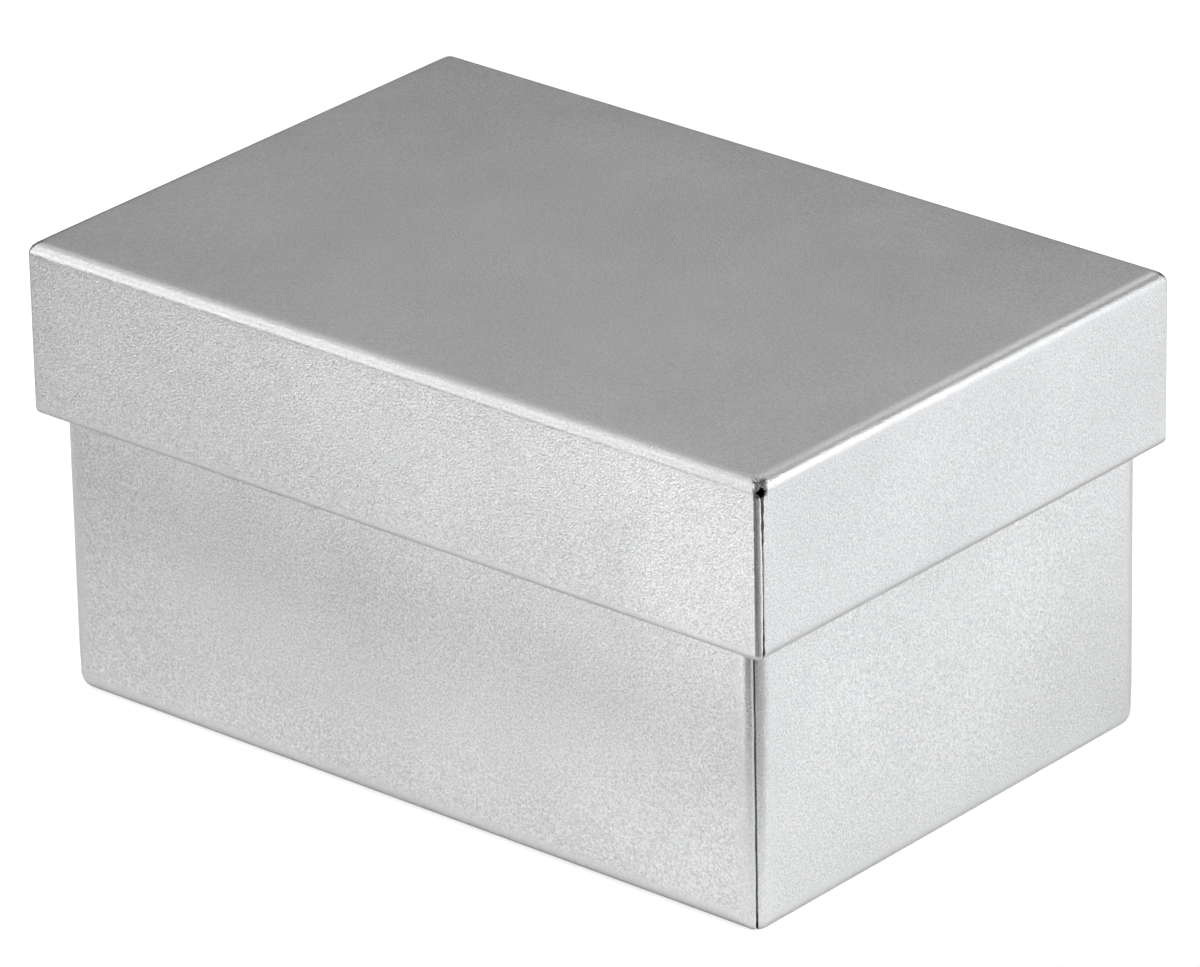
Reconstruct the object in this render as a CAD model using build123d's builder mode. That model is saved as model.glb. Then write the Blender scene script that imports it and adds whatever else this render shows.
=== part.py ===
from build123d import *
import os

os.makedirs("parts", exist_ok=True)

# A small rectangular tin of bare tinplate: a deep lid that slips over a base. Each half is one blank,
# folded up and rolled in at its edge. Millimetres, +Z up. The origin is the middle of the underside,
# X runs along the long sides and Y along the short ones.

# Sizes over all
lid_length = 96.0
lid_width = 65.4
tin_height = 50.5
skirt_depth = 19.2
sheet = 0.25

# Fit of the lid on the base
lid_overhang = 2.0  # from the base's wall out to the lid's skirt, on every side
sliding_clearance = 0.15  # between the base's wall and the lid's rolled rim
seat_clearance = 0.15  # between the base's rolled rim and the lid's top

# Bends, measured on the outside of the sheet
lid_top_bend = 1.4
base_corner_bend = 2.1
base_floor_bend = 2.0
base_roll_radius = 0.8

# Corner seams: the blank is cut there, and a lap of the next side backs the cut
seam_gap = 0.15
lid_seam_angle = 70.0  # degrees round the bend from the side that wraps it
base_seam_angle = 32.0
lap_reach = 6.0  # along the side that the lap lies behind
lap_hold = 1.5  # along the side that the lap belongs to
lap_margin = 0.4  # from a lap's ends to the bend and the roll beyond them
notch_radius = 0.5
notch_drop = 1.15  # from the lid's top to the middle of the notch

# Cuts run this far past what they cut
overrun = 1.0

# Sizes that follow
base_length = lid_length - 2 * lid_overhang
base_width = lid_width - 2 * lid_overhang
lid_roll_radius = (lid_overhang - sliding_clearance) / 2
lid_corner_bend = lid_roll_radius  # the corner runs down into the roll
lid_roll_height = tin_height - skirt_depth + lid_roll_radius
base_roll_height = tin_height - sheet - seat_clearance - base_roll_radius


def corner_frames(length, width, bend):
    """The axes of the four corner bends, each turned so that the next side faces its +X."""
    frames = []
    for quarter, (x, y) in enumerate(((1, -1), (1, 1), (-1, 1), (-1, -1))):
        place = (x * (length / 2 - bend), y * (width / 2 - bend), 0)
        frames.append(Location(place, (0, 0, 90 * quarter)))
    return frames


def side_frames(length, width, height):
    """The middle of each side's outer face at one height, each turned so that its side faces -Y."""
    frames = []
    for quarter, (x, y) in enumerate(((0, -1), (1, 0), (0, 1), (-1, 0))):
        frames.append(Location((x * length / 2, y * width / 2, height), (0, 0, 90 * quarter)))
    return frames


def roll_run(length, corner, radius, wall_side):
    """One side's edge rolled inwards into three quarters of a tube. The quarter beside the wall,
    which goes up from the roll's axis where `wall_side` is 1 and down where it is -1, is open."""
    wall_align = Align.MIN if wall_side > 0 else Align.MAX
    end = length / 2 - corner
    mitre_start = corner - seam_gap
    with BuildPart() as run:
        with BuildSketch(Plane.YZ):
            with Locations((radius, 0)):
                Circle(radius)
                Circle(radius - sheet, mode=Mode.SUBTRACT)
            Rectangle(radius, radius, align=(Align.MIN, wall_align), mode=Mode.SUBTRACT)
        extrude(amount=end, both=True)
        with BuildSketch():
            with BuildLine():
                Polyline(
                    (-end, -overrun),
                    (end, -overrun),
                    (end, mitre_start),
                    (end - 2 * radius, mitre_start + 2 * radius),
                    (2 * radius - end, mitre_start + 2 * radius),
                    (-end, mitre_start),
                    close=True,
                )
            make_face()
        extrude(amount=radius + overrun, both=True, mode=Mode.INTERSECT)
    return run.part


def corner_cap(radius):
    """The foot of a corner bend, turned in to a ball between the rolls of the two sides."""
    with BuildPart() as cap:
        with BuildSketch(Plane.XZ):
            Circle(radius)
            Circle(radius - sheet, mode=Mode.SUBTRACT)
            Rectangle(radius, radius, align=(Align.MIN, Align.MAX), mode=Mode.INTERSECT)
        revolve(axis=-Axis.Z, revolution_arc=90)
    return cap.part


def saw_cut(angle, reach, bottom, top):
    """An upright cut from a bend's axis outwards, `angle` round from the side that wraps the bend."""
    with BuildPart() as cut:
        with BuildSketch(Plane.XY.offset(bottom)):
            with Locations(Location((0, 0), angle - 90)):
                Rectangle(reach, seam_gap, align=(Align.MIN, Align.CENTER))
        extrude(amount=top - bottom)
    return cut.part


def corner_lap(bend, bottom, top):
    """The lap behind a seam: it leaves the next side, follows the bend inside the outer sheet and
    lies behind the side that wraps the bend."""
    outside = bend - sheet
    inside = outside - sheet
    with BuildPart() as lap:
        with BuildSketch(Plane.XY.offset(bottom)):
            Circle(outside)
            Circle(inside, mode=Mode.SUBTRACT)
            Rectangle(outside, outside, align=(Align.MIN, Align.MAX), mode=Mode.INTERSECT)
            with Locations((0, -inside)):
                Rectangle(lap_reach, sheet, align=(Align.MAX, Align.MAX))
            with Locations((inside, 0)):
                Rectangle(sheet, lap_hold, align=(Align.MIN, Align.MIN))
        extrude(amount=top - bottom)
    return lap.part


def corner_notch(angle, bend, height):
    """The small round relief at the head of a seam, where three bends meet."""
    with BuildPart() as notch:
        with BuildSketch(Plane(origin=(0, 0, height), z_dir=Vector(1, 0, 0).rotate(Axis.Z, angle - 90))):
            Circle(notch_radius)
        extrude(amount=bend + overrun)
    return notch.part


# Lid: top and skirt, a rolled edge with closed corners, and a notch, a seam and a lap at each corner
lid_long_roll = roll_run(lid_length, lid_corner_bend, lid_roll_radius, 1)
lid_short_roll = roll_run(lid_width, lid_corner_bend, lid_roll_radius, 1)
lid_cap = Pos(0, 0, lid_roll_height) * corner_cap(lid_roll_radius)
lid_notch = corner_notch(lid_seam_angle, lid_corner_bend, tin_height - notch_drop)
lid_seam = saw_cut(
    lid_seam_angle,
    lid_corner_bend + overrun,
    tin_height - skirt_depth - overrun,
    tin_height - notch_drop,
)
lid_lap = corner_lap(
    lid_corner_bend,
    lid_roll_height + lid_roll_radius + lap_margin,
    tin_height - lid_top_bend - lap_margin,
)
lid_sides = side_frames(lid_length, lid_width, lid_roll_height)

with BuildPart() as lid:
    with BuildSketch(Plane.XY.offset(lid_roll_height)):
        RectangleRounded(lid_length, lid_width, lid_corner_bend)
    extrude(amount=tin_height - lid_roll_height)
    fillet(lid.faces().sort_by(Axis.Z)[-1].edges(), lid_top_bend)
    offset(amount=-sheet, openings=lid.faces().sort_by(Axis.Z)[0])
    with Locations(*lid_sides[::2]):
        add(lid_long_roll)
    with Locations(*lid_sides[1::2]):
        add(lid_short_roll)
    with Locations(*corner_frames(lid_length, lid_width, lid_corner_bend)):
        add(lid_cap)
        add(lid_seam, mode=Mode.SUBTRACT)
        add(lid_notch, mode=Mode.SUBTRACT)
        add(lid_lap)
lid.part.label = "lid"

# Base: floor and walls, a rolled edge along each side of its mouth, and a seam and a lap at each corner
base_long_roll = roll_run(base_length, base_corner_bend, base_roll_radius, -1)
base_short_roll = roll_run(base_width, base_corner_bend, base_roll_radius, -1)
base_seam = saw_cut(
    base_seam_angle,
    base_corner_bend + overrun,
    -overrun,
    base_roll_height + overrun,
)
base_lap = corner_lap(
    base_corner_bend,
    base_floor_bend + lap_margin,
    base_roll_height - base_roll_radius - lap_margin,
)
base_sides = side_frames(base_length, base_width, base_roll_height)

with BuildPart() as base:
    with BuildSketch():
        RectangleRounded(base_length, base_width, base_corner_bend)
    extrude(amount=base_roll_height)
    fillet(base.faces().sort_by(Axis.Z)[0].edges(), base_floor_bend)
    offset(amount=-sheet, openings=base.faces().sort_by(Axis.Z)[-1])
    with Locations(*base_sides[::2]):
        add(base_long_roll)
    with Locations(*base_sides[1::2]):
        add(base_short_roll)
    with Locations(*corner_frames(base_length, base_width, base_corner_bend)):
        add(base_seam, mode=Mode.SUBTRACT)
        add(base_lap)
base.part.label = "base"

export_step(base.part, "parts/base.step")
export_step(lid.part, "parts/lid.step")
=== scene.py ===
import math
from dataclasses import dataclass

import bmesh
import bpy
from mathutils import Matrix, Vector


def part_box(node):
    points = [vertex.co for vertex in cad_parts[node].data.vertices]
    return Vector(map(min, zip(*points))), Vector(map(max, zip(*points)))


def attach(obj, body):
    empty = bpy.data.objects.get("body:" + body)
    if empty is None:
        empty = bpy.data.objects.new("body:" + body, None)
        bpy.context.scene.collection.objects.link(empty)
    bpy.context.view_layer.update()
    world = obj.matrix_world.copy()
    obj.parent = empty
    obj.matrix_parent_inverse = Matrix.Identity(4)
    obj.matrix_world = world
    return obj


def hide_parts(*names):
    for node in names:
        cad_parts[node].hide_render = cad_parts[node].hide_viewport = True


# The looks of a small tinplate box: a deep lid that slips over a base. Metres, in the CAD's frame.
# Each half is built again as one sheet, folded and rolled, with the seams, notches and tucked-in
# tabs of its corners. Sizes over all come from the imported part.

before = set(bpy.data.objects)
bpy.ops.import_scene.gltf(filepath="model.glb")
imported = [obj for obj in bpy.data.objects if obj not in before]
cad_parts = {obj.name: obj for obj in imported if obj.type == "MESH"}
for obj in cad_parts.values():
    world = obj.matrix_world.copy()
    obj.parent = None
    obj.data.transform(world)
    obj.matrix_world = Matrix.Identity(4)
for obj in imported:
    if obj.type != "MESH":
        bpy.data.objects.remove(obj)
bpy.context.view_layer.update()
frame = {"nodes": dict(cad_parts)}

MM = 0.001
QUARTER_TURN = math.pi / 2

# The sheet and its bends, on the outside of the sheet, as in the part's source
SHEET = 0.25 * MM
LID_TOP_BEND = 1.4 * MM
LID_OVERHANG = 2.0 * MM
SLIDING_CLEARANCE = 0.15 * MM
BASE_CORNER_BEND = 2.1 * MM
BASE_FLOOR_BEND = 2.0 * MM
BASE_ROLL_RADIUS = 0.8 * MM
NOTCH_DROP = 1.15 * MM  # from the lid's top to the middle of the notch
TAB_REACH = 6.0 * MM
TAB_MARGIN = 0.4 * MM  # from a tab's ends to the bend and the roll beyond them

# Corner bends, finer than in the CAD
LID_CORNER_BEND = 0.46 * MM
LID_CHAMFER = 0.66  # how nearly straight the bend is pressed, from 0 to 1
LID_PANEL_CORNER = 0.42 * MM  # radius in plan where the flat top ends
BASE_PANEL_CORNER = 0.7 * MM

# Corner seams
LID_SEAM_ANGLE = math.radians(90)  # round the bend, from the side that wraps it
LID_SEAM_PAST = 0.33 * MM  # how far the side that wraps the bend goes on past it
LID_SEAM_SHIFTS = (0.0, 0.0, 0.0, -1.41 * MM)  # at the left corner the front wraps the bend
LID_SEAM_HEAD = 0.7 * MM  # the seam's width under the notch, halfway down and at its foot
LID_SEAM_WAIST = 0.07 * MM
LID_SEAM_FOOT = 0.42 * MM
BASE_SEAM_ANGLE = math.radians(41)
BASE_SEAM_SHIFTS = (0.0, 0.0, 0.0, 0.0)
BASE_SEAM_HEAD = 0.2 * MM
BASE_SEAM_WAIST = 0.18 * MM
BASE_SEAM_FOOT = 0.18 * MM
SEAM_HEAD_POWER = 3  # how quickly a seam narrows below its head
SEAM_FOOT_POWER = 4  # and how late it widens towards its foot
SEAM_WAVE = 5.0 * MM  # length over which a seam's width swells and shrinks
SEAM_WAVE_SHARE = 0.15  # and the share of its width that it does so by
SEAM_JAG = 1.7 * MM  # the same for its finer unevenness
SEAM_JAG_SHARE = 0.2
CORNER_PHASE = 2.1  # how far the waves of one corner are turned from those of the one before
BASE_EDGE_LIFT = 0.075 * MM  # how far the cut edges of the base's seams stand out

# Tabs and cut edges
TAB_CLEARANCE = 0.02 * MM  # between a tab and the sheet that it is tucked behind
TAB_CHAMFER = 1.5 * MM
TUCK_RUN = 0.3 * MM  # how far beside the seam the sheet starts to dip towards its tab
CUT_ROUNDING = 0.035 * MM
CUT_SEGMENTS = 2
CUT_ANGLE = math.radians(60)  # between two faces, from which the edge is a cut one
SHARP_ANGLE = math.radians(50)  # from which the shading isn't smooth

# The notch at the head of each lid seam, and the torn and crumpled sheet above it
NOTCH_HALF_WIDTH = 0.5 * MM
NOTCH_SKEW = 1.4  # how much wider it is on the side that wraps the bend
NOTCH_HALF_HEIGHT = 0.4 * MM
NOTCH_RAGGED = 0.22  # the share of its width that varies
NOTCH_TEETH = 5.0  # how far that wave turns over half the notch's height
TEAR_LENGTH = 0.35 * MM
TEAR_HALF_WIDTH = 0.09 * MM
CRINKLE_DEPTH = 0.09 * MM
CRINKLE_REACH = 0.8 * MM
CRINKLE_FULL_ALONG = 0.4  # the share of the reach that they go before they fade, along the sheet
CRINKLE_FULL_BESIDE = 0.3  # and beside the seam
CRINKLE_ALONG = 0.8 * CRINKLE_REACH  # the lengths of their waves, along the sheet
CRINKLE_BESIDE = 0.55 * CRINKLE_REACH  # and beside the seam
CRINKLE_PHASES = 1.7  # how many times a corner's phase turns the waves along the sheet

# The surface: flats bow a little, and bends and rolls are less pebbled than flats
LID_PANEL_BOW = 0.12 * MM
LID_WALL_BOW = 0.06 * MM
BASE_PANEL_BOW = 0.15 * MM
BASE_WALL_BOW = 0.16 * MM
LID_PANEL_PEBBLES = 0.8  # how strong grain and pebbles are on the flats
LID_WALL_PEBBLES = 1.25
BASE_PANEL_PEBBLES = 1.0
BASE_WALL_PEBBLES = 1.45
EDGE_PEBBLES = 0.4  # the share left of them on the bends along the panels and on the rolls
CORNER_PEBBLES = 0.55  # and on the corner bends
EDGE_FADE = 0.35 * MM  # how far beside the bends and rolls they are whole again
CORNER_FADE = 0.8 * MM
EDGE_HIGHLIGHT_REACH = 0.2 * MM  # of the painted highlight, from a cut edge
PAINTED_SHADE_START = 0.3  # how far the fade to the painted shade on the lid's roll has come where the roll starts
PAINTED_SHADE_FADE = 1.2 * MM
SEAM_SHADE_REACH = 0.12 * MM  # of the painted shade, from a seam
SEAM_SHADE_FULL = 0.5  # the share of the reach that it goes before it fades
NOTCH_DARKENING = 0.7  # how dark the sheet is painted round the notches
NOTCH_DARKENING_HEIGHT = 0.65 * MM  # its middle is half of this above the middle of the notch
NOTCH_DARKENING_FULL_ALONG = 1.2  # shares, as for the crumples
NOTCH_DARKENING_FULL_BESIDE = 0.6

# Rows and columns of the mesh
PANEL_MARGIN = 0.4 * MM  # how far the bend's rows go on into the panel
CORNER_MARGIN = 1.4 * MM  # how far a corner's columns go on along the walls
NOTCH_CLEARING = PANEL_MARGIN / 6  # beside the notch's own rows, where the bend has none
SAME_PLACE = 0.001 * MM
MARGIN_ROWS = 2
BEND_ROWS = 14
NOTCH_ROWS = 14
TEAR_ROWS = 7
TAB_END_ROWS = 3
WALL_ROWS = 30
ROLL_ROWS = 24
COLUMNS_AFTER_SEAM = 18
COLUMNS_TO_SEAM = 20
COLUMN_POWER = 1.5  # how strongly a corner's columns crowd towards the seam
TAB_COLUMNS = 20
LONG_SIDE_COLUMNS = 36
SHORT_SIDE_COLUMNS = 26
SURFACE_LAYERS = ("pebbled", "edge_highlight", "seam_shade", "painted_shade")


@dataclass
class Half:
    """One folded half of the tin: a flat panel, a bend round it, four walls and a rolled edge."""

    name: str
    length: float
    width: float
    panel_height: float
    way: int  # 1 where the walls go up from the panel, -1 where they go down
    panel_bend: float
    panel_corner: float
    corner_bend: float
    chamfer: float
    wall: float  # along the sheet, from the panel's bend to the roll
    roll_radius: float
    rolls_meet: bool  # whether the roll goes on round the corner bends to the seam
    seam_angle: float  # round the corner bend, from the side that wraps it
    seam_past: float  # and along the next side's flat
    seam_shifts: tuple  # from that place at the four corners, along the outline
    seam_head: float
    seam_waist: float
    seam_foot: float
    edge_lift: float
    notch_at: float  # along the sheet from the panel's edge, or zero without a notch
    panel_bow: float
    wall_bow: float
    panel_pebbles: float
    wall_pebbles: float

    @property
    def bend_run(self):
        """How long the panel's bend is along the sheet, and so where the wall starts."""
        return self.panel_bend * QUARTER_TURN

    @property
    def roll_start(self):
        """Where the roll starts, along the sheet from the panel's edge, like the places below."""
        return self.bend_run + self.wall

    @property
    def roll_end(self):
        """Where the roll ends, after three quarters of a turn."""
        return self.roll_start + 3 * QUARTER_TURN * self.roll_radius

    @property
    def tab_start(self):
        """Where the tabs start, a little past the panel's bend."""
        return self.bend_run + TAB_MARGIN

    @property
    def tab_end(self):
        """Where the tabs end, a little short of the roll, which comes back up behind the wall."""
        return self.roll_start - self.roll_radius - TAB_MARGIN


@dataclass
class Corner:
    """The axis of a corner bend, turned so that the side that wraps the bend faces -Y and the next
    side faces +X, how far its seam is from the usual place, and a phase that makes its waves and
    crumples its own."""

    frame: Matrix
    seam_shift: float
    phase: float


@dataclass
class Spot:
    """A point of the sheet, with how strongly it is pebbled there, and how much highlight is painted
    at its cut edge and shade in its seam, from 0 to 1."""

    place: Vector
    pebbled: float
    edge_highlight: float = 0.0
    seam_shade: float = 0.0


def lid_half():
    """The lid, whose rolls clear the base and meet at the seams, each with a notch at its head."""
    low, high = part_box("lid")
    roll = (LID_OVERHANG - SLIDING_CLEARANCE) / 2
    notch_angle = math.acos(1 - NOTCH_DROP / LID_TOP_BEND)
    return Half(
        name="lid",
        length=high.x - low.x,
        width=high.y - low.y,
        panel_height=high.z,
        way=-1,
        panel_bend=LID_TOP_BEND,
        panel_corner=LID_PANEL_CORNER,
        corner_bend=LID_CORNER_BEND,
        chamfer=LID_CHAMFER,
        wall=high.z - low.z - LID_TOP_BEND - roll,
        roll_radius=roll,
        rolls_meet=True,
        seam_angle=LID_SEAM_ANGLE,
        seam_past=LID_SEAM_PAST,
        seam_shifts=LID_SEAM_SHIFTS,
        seam_head=LID_SEAM_HEAD,
        seam_waist=LID_SEAM_WAIST,
        seam_foot=LID_SEAM_FOOT,
        edge_lift=0.0,
        notch_at=LID_TOP_BEND * notch_angle,
        panel_bow=LID_PANEL_BOW,
        wall_bow=LID_WALL_BOW,
        panel_pebbles=LID_PANEL_PEBBLES,
        wall_pebbles=LID_WALL_PEBBLES,
    )


def base_half():
    """The base, whose rolls stop short of the corner bends."""
    low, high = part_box("base")
    return Half(
        name="base",
        length=high.x - low.x,
        width=high.y - low.y,
        panel_height=low.z,
        way=1,
        panel_bend=BASE_FLOOR_BEND,
        panel_corner=BASE_PANEL_CORNER,
        corner_bend=BASE_CORNER_BEND,
        chamfer=0.0,
        wall=high.z - low.z - BASE_FLOOR_BEND - BASE_ROLL_RADIUS,
        roll_radius=BASE_ROLL_RADIUS,
        rolls_meet=False,
        seam_angle=BASE_SEAM_ANGLE,
        seam_past=0.0,
        seam_shifts=BASE_SEAM_SHIFTS,
        seam_head=BASE_SEAM_HEAD,
        seam_waist=BASE_SEAM_WAIST,
        seam_foot=BASE_SEAM_FOOT,
        edge_lift=BASE_EDGE_LIFT,
        notch_at=0.0,
        panel_bow=BASE_PANEL_BOW,
        wall_bow=BASE_WALL_BOW,
        panel_pebbles=BASE_PANEL_PEBBLES,
        wall_pebbles=BASE_WALL_PEBBLES,
    )


def ease(share):
    """0 to 1 with a smooth start and end."""
    share = min(max(share, 0.0), 1.0)
    return share * share * (3 - 2 * share)


def fade(distance, reach, full):
    """1 as far as a share `full` of the reach, and from there smoothly down to 0 over the reach."""
    return ease(1 + full - distance / reach)


def spread(start, end, steps):
    """Evenly spaced values from start to end, both included."""
    return [start + (end - start) * step / steps for step in range(steps + 1)]


def off_panel(half, along):
    """0 at the panel's edge, and 1 from halfway round the bend."""
    return ease(2 * along / half.bend_run)


def wall_share(half, along):
    """0 at the wall's end at the panel's bend, and 1 at its end at the roll."""
    return min(max((along - half.bend_run) / half.wall, 0.0), 1.0)


def tab_margin(half, along):
    """How far a row is inside the nearer end of a tab, or below zero outside it."""
    return min(along - half.tab_start, half.tab_end - along)


def profile(half, along):
    """Where the sheet is at a distance along it from the panel's edge: how far in from the wall's
    outer face, how far from the panel, and how far it has turned from the panel to the wall."""
    if along < 0:
        return half.panel_bend - along, 0.0, 0.0
    if along < half.bend_run:
        turn = along / half.panel_bend
        return half.panel_bend * (1 - math.sin(turn)), half.panel_bend * (1 - math.cos(turn)), turn
    if along <= half.roll_start:
        return 0.0, half.panel_bend + along - half.bend_run, QUARTER_TURN
    turn = (along - half.roll_start) / half.roll_radius
    start = half.panel_bend + half.wall
    inset = half.roll_radius * (1 - math.cos(turn))
    return inset, start + half.roll_radius * math.sin(turn), QUARTER_TURN


def plan_radius(half, along):
    """The corner's radius in plan: small at the panel, full on the wall, shrinking in the roll."""
    if along > half.roll_start:
        return max(half.corner_bend - profile(half, along)[0], 0.0)
    share = ease(along / half.bend_run)
    return half.panel_corner + min(along, 0.0) + (half.corner_bend - half.panel_corner) * share


def corner_bends(half):
    """The half's corners, from the one in front on the right round the tin towards the back."""
    corners = []
    for quarter, (x, y) in enumerate(((1, -1), (1, 1), (-1, 1), (-1, -1))):
        across = x * (half.length / 2 - half.corner_bend)
        deep = y * (half.width / 2 - half.corner_bend)
        turn = Matrix.Rotation(quarter * QUARTER_TURN, 4, "Z")
        axis = Matrix.Translation((across, deep, 0)) @ turn
        corners.append(Corner(axis, half.seam_shifts[quarter], CORNER_PHASE * quarter))
    return corners


def turned(half, turn):
    """Sine and cosine of a turn round a corner bend, drawn in towards the straight chamfer."""
    share = turn / QUARTER_TURN
    sine, cosine = math.sin(turn), math.cos(turn)
    return sine + (share - sine) * half.chamfer, cosine + (1 - share - cosine) * half.chamfer


def corner_point(half, corner, along, run, depth=0.0):
    """A point of the sheet near a corner. `run` goes along the outline from the start of the bend:
    below zero it is on the side that wraps the bend, and past the bend on the next side. `depth` is
    how far the sheet lies behind its usual place."""
    inset, drop, lean = profile(half, along)
    radius = plan_radius(half, along)
    centre = half.corner_bend - inset - radius
    bend_run = radius * QUARTER_TURN
    turn = min(max(run / radius, 0.0), QUARTER_TURN) if radius > 0 else QUARTER_TURN * (run > 0)
    out = radius - depth * math.sin(lean)
    across, back = turned(half, turn)
    x = centre + out * across + min(run, 0.0)
    y = -centre - out * back + max(run - bend_run, 0.0)
    z = half.panel_height + half.way * (drop + depth * math.cos(lean))
    return corner.frame @ Vector((x, y, z))


def seam_run(half, corner, along):
    """Where along the outline the seam's middle is."""
    past = half.seam_past * ease(along / half.bend_run)
    shift = corner.seam_shift * off_panel(half, along)
    return plan_radius(half, along) * half.seam_angle + past + shift


def seam_half_width(half, corner, along):
    """Half the seam's width at a distance along the sheet, from its head over its waist to its foot.
    In the lid it starts as a tear above the notch. In the base it grows out of the bend."""
    share = wall_share(half, along)
    wave = 1 + SEAM_WAVE_SHARE * math.sin(math.tau * along / SEAM_WAVE + corner.phase)
    wave += SEAM_JAG_SHARE * math.sin(math.tau * along / SEAM_JAG + 2 * corner.phase)
    head = (half.seam_head - half.seam_waist) * (1 - share) ** SEAM_HEAD_POWER
    foot = (half.seam_foot - half.seam_waist) * share ** SEAM_FOOT_POWER
    seam = (half.seam_waist + head + foot) * wave / 2
    if not half.notch_at:
        return seam * off_panel(half, along)
    above = half.notch_at - NOTCH_HALF_HEIGHT - along
    if above >= TEAR_LENGTH:
        return 0.0
    if above > 0:
        return TEAR_HALF_WIDTH * (1 - above / TEAR_LENGTH)
    return TEAR_HALF_WIDTH if along < half.notch_at else seam


def notch_half_width(half, along, phase):
    """From the seam to the edge of a lid's notch, which is torn a little unevenly."""
    off = (along - half.notch_at) / NOTCH_HALF_HEIGHT
    if not half.notch_at or abs(off) >= 1:
        return 0.0
    ragged = 1 + NOTCH_RAGGED * math.sin(NOTCH_TEETH * off + phase)
    return NOTCH_HALF_WIDTH * ragged * math.sqrt(1 - off * off)


def tuck_depth(half, along, past_seam):
    """How far the next side's sheet dips at the seam: nothing beside it, a sheet's depth behind it."""
    depth = SHEET + TAB_CLEARANCE
    inside = ease(1 + tab_margin(half, along) / TAB_CHAMFER)
    return depth * inside * ease((TUCK_RUN - past_seam) / (2 * TUCK_RUN))


def crinkle_depth(half, corner, along, from_seam):
    """How deep the crumples are in the sheet at the head of a lid's seam."""
    if not half.notch_at:
        return 0.0
    middle = half.notch_at - NOTCH_HALF_HEIGHT - TEAR_LENGTH / 2
    above = fade(abs(along - middle), CRINKLE_REACH, CRINKLE_FULL_ALONG)
    beside = fade(from_seam, CRINKLE_REACH, CRINKLE_FULL_BESIDE)
    across = math.sin(math.tau * from_seam / CRINKLE_BESIDE + corner.phase)
    down = math.sin(math.tau * along / CRINKLE_ALONG + CRINKLE_PHASES * corner.phase)
    return CRINKLE_DEPTH * above * beside * (1 + across * down) / 2


def wall_bow_at(half, along):
    """How far the middle of a wall bows in at a distance along the sheet."""
    return half.wall_bow * math.sin(math.pi * wall_share(half, along))


def pebbled_at(half, along, past_bend):
    """How strongly the sheet is pebbled: less on the bends and the roll than on the flats."""
    if along < 0:
        return half.panel_pebbles * max(ease(-along / EDGE_FADE), EDGE_PEBBLES)
    edge = ease(min(along - half.bend_run, half.roll_start - along) / EDGE_FADE)
    corner = ease(past_bend / CORNER_FADE)
    return half.wall_pebbles * min(max(corner, CORNER_PEBBLES), max(edge, EDGE_PEBBLES))


def painted_shade_at(half, along):
    """How much shade is painted on the sheet: most on the lid's roll, or on the base's foot."""
    if half.rolls_meet:
        return ease((along - half.roll_start) / PAINTED_SHADE_FADE + PAINTED_SHADE_START)
    return 1 - ease(along / half.bend_run)


def seam_shade_at(half, along, from_seam):
    """How much shade is painted on the sheet: in the seams, and darker round a lid's notch and tear.
    """
    seam = fade(from_seam, SEAM_SHADE_REACH, SEAM_SHADE_FULL)
    if not half.notch_at:
        return seam * off_panel(half, along)
    tear_top = half.notch_at - NOTCH_HALF_HEIGHT - TEAR_LENGTH
    seam *= ease((along - tear_top) / TEAR_LENGTH)
    middle = half.notch_at - NOTCH_DARKENING_HEIGHT / 2
    reach = (NOTCH_HALF_HEIGHT + NOTCH_DARKENING_HEIGHT) / 2
    notch = fade(from_seam, CRINKLE_REACH, NOTCH_DARKENING_FULL_BESIDE)
    notch *= fade(abs(along - middle), reach, NOTCH_DARKENING_FULL_ALONG)
    return max(seam, NOTCH_DARKENING * notch)


def notch_places(half):
    """The distances along the sheet of the rows over a lid's notch and the tear above it."""
    turns = spread(0, math.pi, NOTCH_ROWS)
    notch = [half.notch_at - NOTCH_HALF_HEIGHT * math.cos(turn) for turn in turns]
    tear = spread(notch[0] - TEAR_LENGTH, notch[0], TEAR_ROWS)[:-1]
    return tear + notch


def row_places(half):
    """The distances along the sheet of all rows: close together over the bends, the notch and the
    roll, and wider apart on the flat of the wall."""
    tab_head = half.tab_start + TAB_CHAMFER
    tab_foot = half.tab_end - TAB_CHAMFER
    places = spread(-PANEL_MARGIN, 0, MARGIN_ROWS)
    places += spread(0, half.bend_run, BEND_ROWS)
    places += spread(half.tab_start, tab_head, TAB_END_ROWS)
    places += spread(tab_head, tab_foot, WALL_ROWS)
    places += spread(tab_foot, half.tab_end, TAB_END_ROWS)
    places += spread(half.tab_end, half.roll_start, TAB_END_ROWS)
    places += spread(half.roll_start, half.roll_end, ROLL_ROWS)
    if half.notch_at:
        notch = notch_places(half)
        first, last = notch[0] - NOTCH_CLEARING, notch[-1] + NOTCH_CLEARING
        places = [place for place in places if not first < place < last] + notch
    places.sort()
    steps = zip(places, places[1:])
    return places[:1] + [place for before, place in steps if place - before > SAME_PLACE]


def columns_after_seam(half, corner, along):
    """A row of the next side's sheet at a corner, from the seam on round the bend."""
    bend_run = plan_radius(half, along) * QUARTER_TURN
    seam = seam_run(half, corner, along)
    gap = max(seam_half_width(half, corner, along), notch_half_width(half, along, corner.phase))
    zone = bend_run + CORNER_MARGIN - seam - gap
    row = []
    for share in spread(0, 1, COLUMNS_AFTER_SEAM):
        past_seam = gap + zone * share ** COLUMN_POWER
        run = seam + past_seam
        depth = tuck_depth(half, along, past_seam) + crinkle_depth(half, corner, along, past_seam)
        place = corner_point(half, corner, along, run, depth)
        pebbled = pebbled_at(half, along, run - bend_run)
        row.append(Spot(place, pebbled, seam_shade=seam_shade_at(half, along, past_seam)))
    return row


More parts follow.
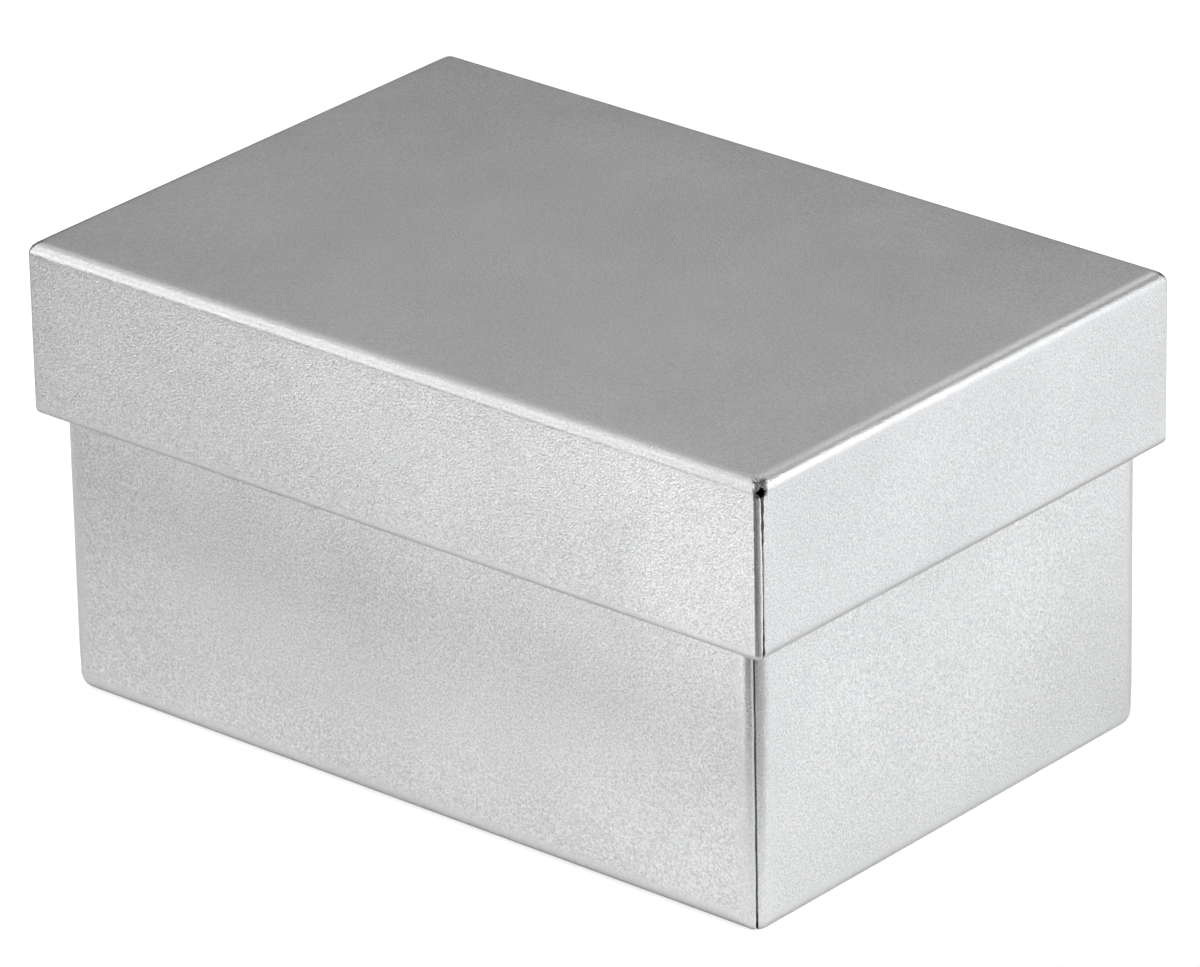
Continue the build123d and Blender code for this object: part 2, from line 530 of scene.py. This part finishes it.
def columns_between(half, before, after, along, steps):
    """A row of a side's straight stretch, which bows in a little between its corners' columns."""
    bend_run = plan_radius(half, along) * QUARTER_TURN
    start = corner_point(half, before, along, bend_run + CORNER_MARGIN)
    end = corner_point(half, after, along, -CORNER_MARGIN)
    inwards = after.frame.to_3x3() @ Vector((0, wall_bow_at(half, along), 0))
    pebbled = pebbled_at(half, along, CORNER_MARGIN)
    row = []
    for share in spread(0, 1, steps)[1:-1]:
        place = start.lerp(end, share) + inwards * math.sin(math.pi * share)
        row.append(Spot(place, pebbled))
    return row


def columns_to_seam(half, corner, along):
    """A row of the sheet that wraps the bend at a corner, up to the seam. Its cut edge has a painted
    highlight below the notch, or from the foot of the base on, and stands out a little on the base."""
    seam = seam_run(half, corner, along)
    notch = NOTCH_SKEW * notch_half_width(half, along, corner.phase + QUARTER_TURN)
    gap = max(seam_half_width(half, corner, along), notch)
    below_head = ease((along - half.notch_at - NOTCH_HALF_HEIGHT) / NOTCH_HALF_HEIGHT)
    lift = half.edge_lift * ease((along - half.bend_run) / half.bend_run)
    row = []
    for share in spread(0, 1, COLUMNS_TO_SEAM):
        to_seam = gap + (seam - gap + CORNER_MARGIN) * (1 - share) ** COLUMN_POWER
        run = seam - to_seam
        # a painted highlight beside the cut edge
        edge_highlight = below_head * (1 - ease((to_seam - gap) / EDGE_HIGHLIGHT_REACH))
        depth = crinkle_depth(half, corner, along, to_seam) - lift * edge_highlight
        place = corner_point(half, corner, along, run, depth)
        pebbled = pebbled_at(half, along, -run)
        seam_shade = seam_shade_at(half, along, to_seam) * (1 - edge_highlight)
        row.append(Spot(place, pebbled, edge_highlight, seam_shade))
    return row


def side_row(half, before, after, along, steps):
    """One row of a side, from the seam at its start to the seam at the end that wraps the bend."""
    row = columns_after_seam(half, before, along)
    row += columns_between(half, before, after, along, steps)
    row += columns_to_seam(half, after, along)
    return row


def tab_row(half, corner, along):
    """One row of the tab that the next side tucks behind the seam, from the seam inwards."""
    seam = seam_run(half, corner, along)
    gap = seam_half_width(half, corner, along)
    reach = TAB_REACH - TAB_CHAMFER + min(tab_margin(half, along), TAB_CHAMFER)
    row = []
    for share in spread(0, 1, TAB_COLUMNS)[1:]:
        past_seam = gap - (seam + gap + reach) * share * share
        depth = tuck_depth(half, along, past_seam)
        place = corner_point(half, corner, along, seam + past_seam, depth)
        # the tab is painted fully dark, as shade in the seam
        row.append(Spot(place, pebbled=1.0, seam_shade=1.0))
    return row


def add_vertices(mesh, spots, painted_shade=0.0):
    """A row of vertices that carry the sheet's surface in the mesh's layers."""
    layers = [mesh.verts.layers.float[name] for name in SURFACE_LAYERS]
    row = []
    for spot in spots:
        vertex = mesh.verts.new(spot.place)
        for layer, value in zip(layers, (spot.pebbled, spot.edge_highlight, spot.seam_shade, painted_shade)):
            vertex[layer] = value
        row.append(vertex)
    return row


def add_face(mesh, half, corners):
    """A face that looks out of the tin, from its corners in the order that suits the lid."""
    mesh.faces.new(corners if half.way < 0 else corners[::-1])


def add_strip(mesh, half, rows):
    """Faces between rows of vertices. The rows go along the sheet's outline, seen from outside."""
    for upper, lower in zip(rows, rows[1:]):
        for i in range(len(upper) - 1):
            add_face(mesh, half, (upper[i], lower[i], lower[i + 1], upper[i + 1]))


def add_side(mesh, half, places, before, after, steps):
    """One side with its roll, and its tab behind the seam at its start. Returns its first row, which
    is in the panel. Rolls that don't meet go only along the side's straight stretch."""
    rows = []
    for along in places:
        spots = side_row(half, before, after, along, steps)
        rows.append(add_vertices(mesh, spots, painted_shade_at(half, along)))
    if half.rolls_meet:
        add_strip(mesh, half, rows)
    else:
        wall_rows = sum(along <= half.roll_start + SAME_PLACE for along in places)
        add_strip(mesh, half, rows[:wall_rows])
        rolled = [row[COLUMNS_AFTER_SEAM:-COLUMNS_TO_SEAM] for row in rows[wall_rows - 1:]]
        add_strip(mesh, half, rolled)
    tab = []
    for along, row in zip(places, rows):
        if tab_margin(half, along) > -SAME_PLACE:
            tucked = add_vertices(mesh, tab_row(half, before, along))
            tab.append(tucked[::-1] + row[:1])
    add_strip(mesh, half, tab)
    return rows[0]


def panel_grid(mesh, half, across, deep):
    """Rows of vertices over the flat panel, which bows in towards the tin's inside."""
    grid = []
    for y in deep:
        spots = []
        for x in across:
            bow = math.cos(math.pi * x / (across[-1] - across[0]))
            bow *= math.cos(math.pi * y / (deep[-1] - deep[0]))
            height = half.panel_height + half.way * half.panel_bow * bow
            spots.append(Spot(Vector((x, y, height)), half.panel_pebbles))
        grid.append(add_vertices(mesh, spots))
    return grid


def add_panel(mesh, half, first_rows):
    """The flat panel inside the first rows: a grid, a strip to each side and a fan in each corner."""
    straight = [row[COLUMNS_AFTER_SEAM:-COLUMNS_TO_SEAM] for row in first_rows]
    across = [vertex.co.x for vertex in straight[0]]
    deep = [vertex.co.y for vertex in straight[1]]
    grid = panel_grid(mesh, half, across, deep)
    for below, above in zip(grid, grid[1:]):
        for i in range(len(below) - 1):
            add_face(mesh, half, (below[i], below[i + 1], above[i + 1], above[i]))
    rims = (grid[0], [row[-1] for row in grid], grid[-1][::-1], [row[0] for row in grid[::-1]])
    following_rows = first_rows[1:] + first_rows[:1]
    for rim, outer, first, following in zip(rims, straight, first_rows, following_rows):
        for i in range(len(rim) - 1):
            add_face(mesh, half, (outer[i], outer[i + 1], rim[i + 1], rim[i]))
        bend = first[-COLUMNS_TO_SEAM - 1:] + following[1:COLUMNS_AFTER_SEAM + 1]
        for one, two in zip(bend, bend[1:]):
            add_face(mesh, half, (one, two, rim[-1]))


def folded_sheet(half):
    """The half's outer face as one mesh: panel, sides, rolls and tabs."""
    mesh = bmesh.new()
    for name in SURFACE_LAYERS:
        mesh.verts.layers.float.new(name)
    corners = corner_bends(half)
    places = row_places(half)
    first_rows = []
    for side, after in enumerate(corners):
        steps = SHORT_SIDE_COLUMNS if side % 2 else LONG_SIDE_COLUMNS
        first_rows.append(add_side(mesh, half, places, corners[side - 1], after, steps))
    add_panel(mesh, half, first_rows)
    loose = [vertex for vertex in mesh.verts if not vertex.link_faces]
    bmesh.ops.delete(mesh, geom=loose, context="VERTS")
    bmesh.ops.remove_doubles(mesh, verts=mesh.verts, dist=SAME_PLACE / 2)
    return mesh


def add_object(name, data):
    """A new object in the scene, with its mesh, camera or light."""
    thing = bpy.data.objects.new(name, data)
    bpy.context.scene.collection.objects.link(thing)
    return thing


def sheet_piece(half):
    """The half as a solid sheet with rounded cut edges."""
    outside = folded_sheet(half)
    data = bpy.data.meshes.new(half.name)
    outside.to_mesh(data)
    outside.free()
    piece = add_object("tin_" + half.name, data)
    thick = piece.modifiers.new("sheet", "SOLIDIFY")
    thick.thickness = SHEET
    thick.offset = -1
    thick.use_even_offset = True
    cut = piece.modifiers.new("cut_edges", "BEVEL")
    cut.width = CUT_ROUNDING
    cut.segments = CUT_SEGMENTS
    cut.limit_method = "ANGLE"
    cut.angle_limit = CUT_ANGLE
    graph = bpy.context.evaluated_depsgraph_get()
    solid = bpy.data.meshes.new_from_object(piece.evaluated_get(graph))
    piece.modifiers.clear()
    piece.data = solid
    solid.shade_smooth()
    solid.set_sharp_from_angle(angle=SHARP_ANGLE)
    return piece


# Sockets of a Mix node that mixes colours, by number, because others have the same names
MIXED_FIRST = 6
MIXED_SECOND = 7
MIXED_COLOUR = 2

# Backdrop
SHOWN_SHARE = 0.1  # how much of its white shows in metal and through glass


@dataclass
class Pattern:
    """A noise: its scale, per millimetre, its levels of detail, how strong they are, and its twist."""

    scale: float
    detail: float
    roughness: float = 0.5
    twist: float = 0.0


class Nodes:
    """Adds and links the nodes of one material or world."""

    def __init__(self, owner):
        owner.use_nodes = True
        self.tree = owner.node_tree
        self.tree.nodes.clear()

    def fill(self, socket, value):
        """Sets an input to a value, or links another node's output to it."""
        if isinstance(value, bpy.types.NodeSocket):
            self.tree.links.new(value, socket)
        else:
            socket.default_value = value

    def add(self, kind, settings=None, **inputs):
        """A node with its settings, and its inputs by name, with _ for a space."""
        node = self.tree.nodes.new("ShaderNode" + kind)
        for name, value in (settings or {}).items():
            setattr(node, name, value)
        for name, value in inputs.items():
            self.fill(node.inputs[name.replace("_", " ")], value)
        return node

    def add_in_order(self, kind, *values, **settings):
        """A node whose inputs share a name, so that they are filled in order."""
        node = self.add(kind, settings)
        for socket, value in zip(node.inputs, values):
            self.fill(socket, value)
        return node

    def sum(self, first, second, share=1.0):
        """The first value plus a share of the second."""
        return self.add_in_order("Math", second, share, first, operation="MULTIPLY_ADD").outputs[0]

    def product(self, first, second):
        """Two values multiplied."""
        return self.add_in_order("Math", first, second, operation="MULTIPLY").outputs[0]

    def ranged(self, value, low, high, from_low=0.0, from_high=1.0):
        """A value from one range spread over another, and held within it."""
        node = self.add(
            "MapRange", Value=value, From_Min=from_low, From_Max=from_high, To_Min=low, To_Max=high
        )
        return node.outputs["Result"]

    def noise(self, place, pattern):
        """A pattern's value at each place, from 0 to 1 and mostly near the middle."""
        node = self.add(
            "TexNoise",
            Vector=place,
            Scale=pattern.scale,
            Detail=pattern.detail,
            Roughness=pattern.roughness,
            Distortion=pattern.twist,
        )
        return node.outputs["Fac"]

    def blend(self, share, one, other):
        """A colour between two, by a share from 0 to 1."""
        node = self.add("Mix", {"data_type": "RGBA"}, Factor=share)
        self.fill(node.inputs[MIXED_FIRST], one)
        self.fill(node.inputs[MIXED_SECOND], other)
        return node.outputs[MIXED_COLOUR]

    def backdrop_share(self):
        """1 for what the camera sees, and a small share for what shows in metal or through glass."""
        path = self.add("LightPath").outputs
        shown = self.sum(path["Is Glossy Ray"], path["Is Transmission Ray"])
        return self.sum(path["Is Camera Ray"], shown, SHOWN_SHARE)


# Tinplate
PER_MM = (1000, 1000, 1000)  # from metres to the patterns' millimetres
PEBBLES = Pattern(scale=4.5, detail=2.0, twist=0.3)
PEBBLE_HEIGHT = 0.048 * MM
SMOOTH_RELIEF = 0.85  # the share left of that height where `pebbled` is 0. It is whole where that is 1
MOST_PEBBLED = 2.0  # no spot is more so
GRAIN = Pattern(scale=5.0, detail=1.0, twist=0.6)
GRAIN_RANGE = (0.28, 0.72)  # what most of the noise lies between
GRAIN_SHARE = 0.77  # of the tones between dark and pale
BLOTCHES = Pattern(scale=0.045, detail=3.0)
MIDDLE_TONE = 0.5
BLOTCH_SHARE = 0.25  # of those tones, to each side of the middle one
WEAR = Pattern(scale=0.16, detail=4.0, roughness=0.6)
WEAR_RANGE = (0.3, 0.7)
MOTTLING = Pattern(scale=3.5, detail=2.0, roughness=0.6)
MOTTLING_SHARE = 0.8  # what it adds to the painted seam shade, as random grime
SHADE_AND_GRIME_START = 0.5  # the sum of both from which shade and grime show
SHADE_AND_GRIME_COVER = 0.95  # the share of the colour beneath that painted shade and grime hide, and so on for the others
EDGE_HIGHLIGHT_COVER = 0.9
PAINTED_SHADE_COVER = 0.75
DARK_PLATE = (0.582, 0.585, 0.590, 1)
PALE_PLATE = (0.932, 0.934, 0.937, 1)
# Painted shade, for the lid's roll and the base's foot
PAINTED_SHADE_COLOUR = (0.44, 0.443, 0.447, 1)
# Painted highlight, for the cut edges
CUT_EDGE_HIGHLIGHT = (0.92, 0.92, 0.92, 1)
# Painted shade, for the seams, tabs and notches, and a little random grime
SHADE_AND_GRIME = (0.1, 0.1, 0.1, 1)
LOW_ROUGHNESS = 0.29
HIGH_ROUGHNESS = 0.35
EDGE_ROUGHNESS = 0.25  # added where the sheet is cut
SEAM_SHADE_ROUGHNESS = 0.25  # and in the seams and round the notches


def plate_colour(nodes, place, pebbled):
    """Bare plate: a grain that is stronger on the more pebbled sheet, over wide and faint blotches."""
    grain = nodes.ranged(nodes.noise(place, GRAIN), -MIDDLE_TONE, MIDDLE_TONE, *GRAIN_RANGE)
    darkest, palest = MIDDLE_TONE - BLOTCH_SHARE, MIDDLE_TONE + BLOTCH_SHARE
    blotches = nodes.ranged(nodes.noise(place, BLOTCHES), darkest, palest)
    tone = nodes.sum(blotches, nodes.product(grain, pebbled), GRAIN_SHARE)
    return nodes.blend(tone, DARK_PLATE, PALE_PLATE)


def painted_light_and_grime_colour(nodes, place, plate, layers):
    """Plate with painted shade on the lid's roll and the base's foot, a painted highlight at its cut
    edges, and painted shade in the seams with a little random grime.
    """
    # Painted shade darkens the lid's roll and the base's foot
    shaded = nodes.blend(nodes.ranged(layers["painted_shade"], 0.0, PAINTED_SHADE_COVER), plate, PAINTED_SHADE_COLOUR)
    # Painted highlight along the cut edges
    highlighted = nodes.blend(nodes.ranged(layers["edge_highlight"], 0.0, EDGE_HIGHLIGHT_COVER), shaded, CUT_EDGE_HIGHLIGHT)
    # Painted shade in the seams and on the tabs, with random grime mottled over it
    shade_and_grime = nodes.sum(layers["seam_shade"], nodes.noise(place, MOTTLING), MOTTLING_SHARE)
    shade_and_grime_cover = nodes.ranged(shade_and_grime, 0.0, SHADE_AND_GRIME_COVER, from_low=SHADE_AND_GRIME_START)
    return nodes.blend(shade_and_grime_cover, highlighted, SHADE_AND_GRIME)


def plate_bump(nodes, place, pebbled):
    """The pebbles, which are a little lower on the smoother sheet."""
    most = SMOOTH_RELIEF + MOST_PEBBLED * (1 - SMOOTH_RELIEF)
    height = nodes.ranged(pebbled, SMOOTH_RELIEF, most, from_high=MOST_PEBBLED)
    relief = nodes.product(nodes.noise(place, PEBBLES), height)
    bump = nodes.add("Bump", Height=relief, Distance=PEBBLE_HEIGHT, Strength=1.0)
    return bump.outputs["Normal"]


def plate_roughness(nodes, place, layers):
    """How matt the plate is: a little unevenly from wear, and more so where it is cut or in the seams.
    """
    worn = nodes.ranged(nodes.noise(place, WEAR), LOW_ROUGHNESS, HIGH_ROUGHNESS, *WEAR_RANGE)
    cut = nodes.sum(worn, layers["edge_highlight"], EDGE_ROUGHNESS)
    return nodes.sum(cut, layers["seam_shade"], SEAM_SHADE_ROUGHNESS)


def tinplate():
    """Bare tinplate: matt and finely pebbled, with a painted highlight where the sheet is cut, painted
    shade on the lid's roll and the base's foot, and painted shade in the seams with a little grime."""
    material = bpy.data.materials.new("bare_tinplate")
    nodes = Nodes(material)
    spot = nodes.add("TexCoord").outputs["Object"]
    place = nodes.add("Mapping", Vector=spot, Scale=PER_MM).outputs["Vector"]
    layers = {}
    for name in SURFACE_LAYERS:
        layers[name] = nodes.add("Attribute", {"attribute_name": name}).outputs["Fac"]
    plate = plate_colour(nodes, place, layers["pebbled"])
    shader = nodes.add(
        "BsdfPrincipled",
        Metallic=1.0,
        Base_Color=painted_light_and_grime_colour(nodes, place, plate, layers),
        Roughness=plate_roughness(nodes, place, layers),
        Normal=plate_bump(nodes, place, layers["pebbled"]),
    )
    nodes.add("OutputMaterial", Surface=shader.outputs["BSDF"])
    return material


# Camera, fitted to the outline of the tin in the photograph
PHOTO_WIDTH = 1200
FOCAL_PIXELS = 9419.6
CAMERA_AZIMUTH = math.radians(40.6575)
CAMERA_ELEVATION = math.radians(24.6427)
CAMERA_ROLL = math.radians(-1.1205)
CAMERA_DISTANCE = 971.61 * MM
CAMERA_RIGHT = -0.305 * MM  # how far its axis passes beside and above the tin's origin
CAMERA_UP = 22.871 * MM
SENSOR_WIDTH = 36.0  # in millimetres, like the lens
CLIP_START = 10 * MM
CLIP_END = 20.0


def direction(azimuth, elevation):
    """The way from the tin at an azimuth, from the middle of the long side in front towards the short
    side on the right, and an elevation."""
    level = math.cos(elevation)
    return Vector((math.sin(azimuth) * level, -math.cos(azimuth) * level, math.sin(elevation)))


def add_camera():
    """The camera at the photograph's angle."""
    back = direction(CAMERA_AZIMUTH, CAMERA_ELEVATION)
    flat_right = Vector((math.cos(CAMERA_AZIMUTH), math.sin(CAMERA_AZIMUTH), 0))
    flat_up = back.cross(flat_right)
    right = flat_right * math.cos(CAMERA_ROLL) + flat_up * math.sin(CAMERA_ROLL)
    up = flat_up * math.cos(CAMERA_ROLL) - flat_right * math.sin(CAMERA_ROLL)
    place = right * CAMERA_RIGHT + up * CAMERA_UP + back * CAMERA_DISTANCE
    data = bpy.data.cameras.new("camera")
    data.lens = FOCAL_PIXELS * SENSOR_WIDTH / PHOTO_WIDTH
    data.sensor_width = SENSOR_WIDTH
    data.clip_start = CLIP_START
    data.clip_end = CLIP_END
    camera = add_object("camera", data)
    axes = Matrix((right, up, back)).transposed().to_4x4()
    camera.matrix_world = Matrix.Translation(place) @ axes
    bpy.context.scene.camera = camera


# Floor and room
WHITE = (1, 1, 1, 1)
FLOOR_COLOUR = (0.93, 0.93, 0.93, 1)
FLOOR_GLOW = 0.7  # what the camera sees of the floor besides the light on it
FLOOR_FRONT = 0.075  # from the tin's middle to the board's edges
FLOOR_RIGHT = 0.072
FLOOR_BACK = 0.9
FLOOR_LEFT = 0.9
FLOOR_HEIGHT = -0.01 * MM  # so that the board and the tin share no plane
ROOM_LOW = (0.03, 0.03, 0.03, 1)
ROOM_HIGH = (0.01, 0.01, 0.01, 1)
ROOM_RANGE = (-0.3, 0.6)  # the upward parts of the directions between which one turns to the other


def floor_material():
    """Pale and matt, with a glow that makes board and room one white at the photograph's angle."""
    material = bpy.data.materials.new("floor")
    nodes = Nodes(material)
    diffuse = nodes.add("BsdfDiffuse", Color=FLOOR_COLOUR)
    glow = nodes.add("Emission", Strength=nodes.ranged(nodes.backdrop_share(), 0.0, FLOOR_GLOW))
    both = nodes.add_in_order("AddShader", diffuse.outputs[0], glow.outputs[0])
    nodes.add("OutputMaterial", Surface=both.outputs[0])
    return material


def add_floor():
    """A plain pale board. Its front and right edges are close to the tin, so that the sides show the
    soft boxes and the dim room past them."""
    corners = (
        (FLOOR_RIGHT, -FLOOR_FRONT, FLOOR_HEIGHT),
        (FLOOR_RIGHT, FLOOR_BACK, FLOOR_HEIGHT),
        (-FLOOR_LEFT, FLOOR_BACK, FLOOR_HEIGHT),
        (-FLOOR_LEFT, -FLOOR_FRONT, FLOOR_HEIGHT),
    )
    mesh = bmesh.new()
    mesh.faces.new([mesh.verts.new(corner) for corner in corners])
    data = bpy.data.meshes.new("floor")
    mesh.to_mesh(data)
    mesh.free()
    data.materials.append(floor_material())
    board = add_object("floor", data)


def add_room():
    """A dim room round the soft boxes, which the camera sees as white."""
    world = bpy.data.worlds.new("room")
    nodes = Nodes(world)
    up = nodes.add("SeparateXYZ", Vector=nodes.add("TexCoord").outputs["Generated"]).outputs["Z"]
    height = nodes.ranged(up, 0.0, 1.0, *ROOM_RANGE)
    around = nodes.add("Background", Color=nodes.blend(height, ROOM_LOW, ROOM_HIGH)).outputs[0]
    white = nodes.add("Background", Color=WHITE).outputs[0]
    shown = nodes.add_in_order("MixShader", nodes.backdrop_share(), around, white)
    nodes.add("OutputWorld", Surface=shown.outputs[0])
    bpy.context.scene.world = world


@dataclass
class SoftBox:
    """A soft box: where it stands seen from the tin, how far off, its size, its level and its tint."""

    name: str
    azimuth: float  # in degrees, as its elevation
    elevation: float
    distance: float
    width: float
    height: float
    level: float  # 1 is as bright as white
    tint: tuple = (1.0, 1.0, 1.0)


COOL = (0.98, 0.99, 1.0)
SOFT_BOX_AIM = 25 * MM  # the height on the tin's axis that they all face

# Name, azimuth, elevation, distance, width, height, level and tint
SOFT_BOXES = (
    SoftBox("left_high", -42, 36, 0.50, 0.35, 0.20, 1.3),
    SoftBox("left_level", -42, 8, 0.50, 0.35, 0.22, 1.42),
    SoftBox("left_low", -34, -33, 0.50, 0.32, 0.20, 1.5),
    SoftBox("front_low", -14, -12, 0.50, 0.20, 0.30, 0.95),
    SoftBox("overhead", 30, 66, 0.35, 0.22, 0.22, 4.5),
    SoftBox("left_above", 282, 55, 0.45, 0.36, 0.26, 0.64),
    SoftBox("behind", 205, 43, 0.45, 0.45, 0.20, 0.65),
    SoftBox("behind_low", 206, 4, 0.45, 0.45, 0.14, 0.36),
    SoftBox("right_above", 150, 50, 0.40, 0.30, 0.20, 0.5),
    SoftBox("right", 120, 16, 0.50, 0.40, 0.30, 1.35, COOL),
    SoftBox("right_near", 100, 14, 0.40, 0.16, 0.26, 5.4, COOL),
    SoftBox("right_low", 135, -18, 0.50, 0.35, 0.25, 0.96, COOL),
    SoftBox("right_low_near", 100, -12, 0.50, 0.20, 0.30, 0.78, COOL),
    SoftBox("camera_side", 70, -24, 0.50, 0.18, 0.30, 0.45),
)


def add_soft_box(box):
    """An area lamp that faces the tin, and that the camera doesn't see."""
    light = bpy.data.lights.new(box.name, "AREA")
    light.shape = "RECTANGLE"
    light.size = box.width
    light.size_y = box.height
    light.energy = box.level * math.pi * box.width * box.height
    light.color = box.tint
    lamp = add_object(box.name, light)
    away = direction(math.radians(box.azimuth), math.radians(box.elevation))
    lamp.location = Vector((0, 0, SOFT_BOX_AIM)) + away * box.distance
    lamp.rotation_euler = away.to_track_quat("Z", "Y").to_euler()
    lamp.visible_camera = False


tin = tinplate()
for half in (lid_half(), base_half()):
    piece = sheet_piece(half)
    piece.data.materials.append(tin)
    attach(piece, half.name)
    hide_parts(half.name)
add_camera()
add_floor()
add_room()
for soft_box in SOFT_BOXES:
    add_soft_box(soft_box)
bpy.context.scene.view_settings.view_transform = "Standard"
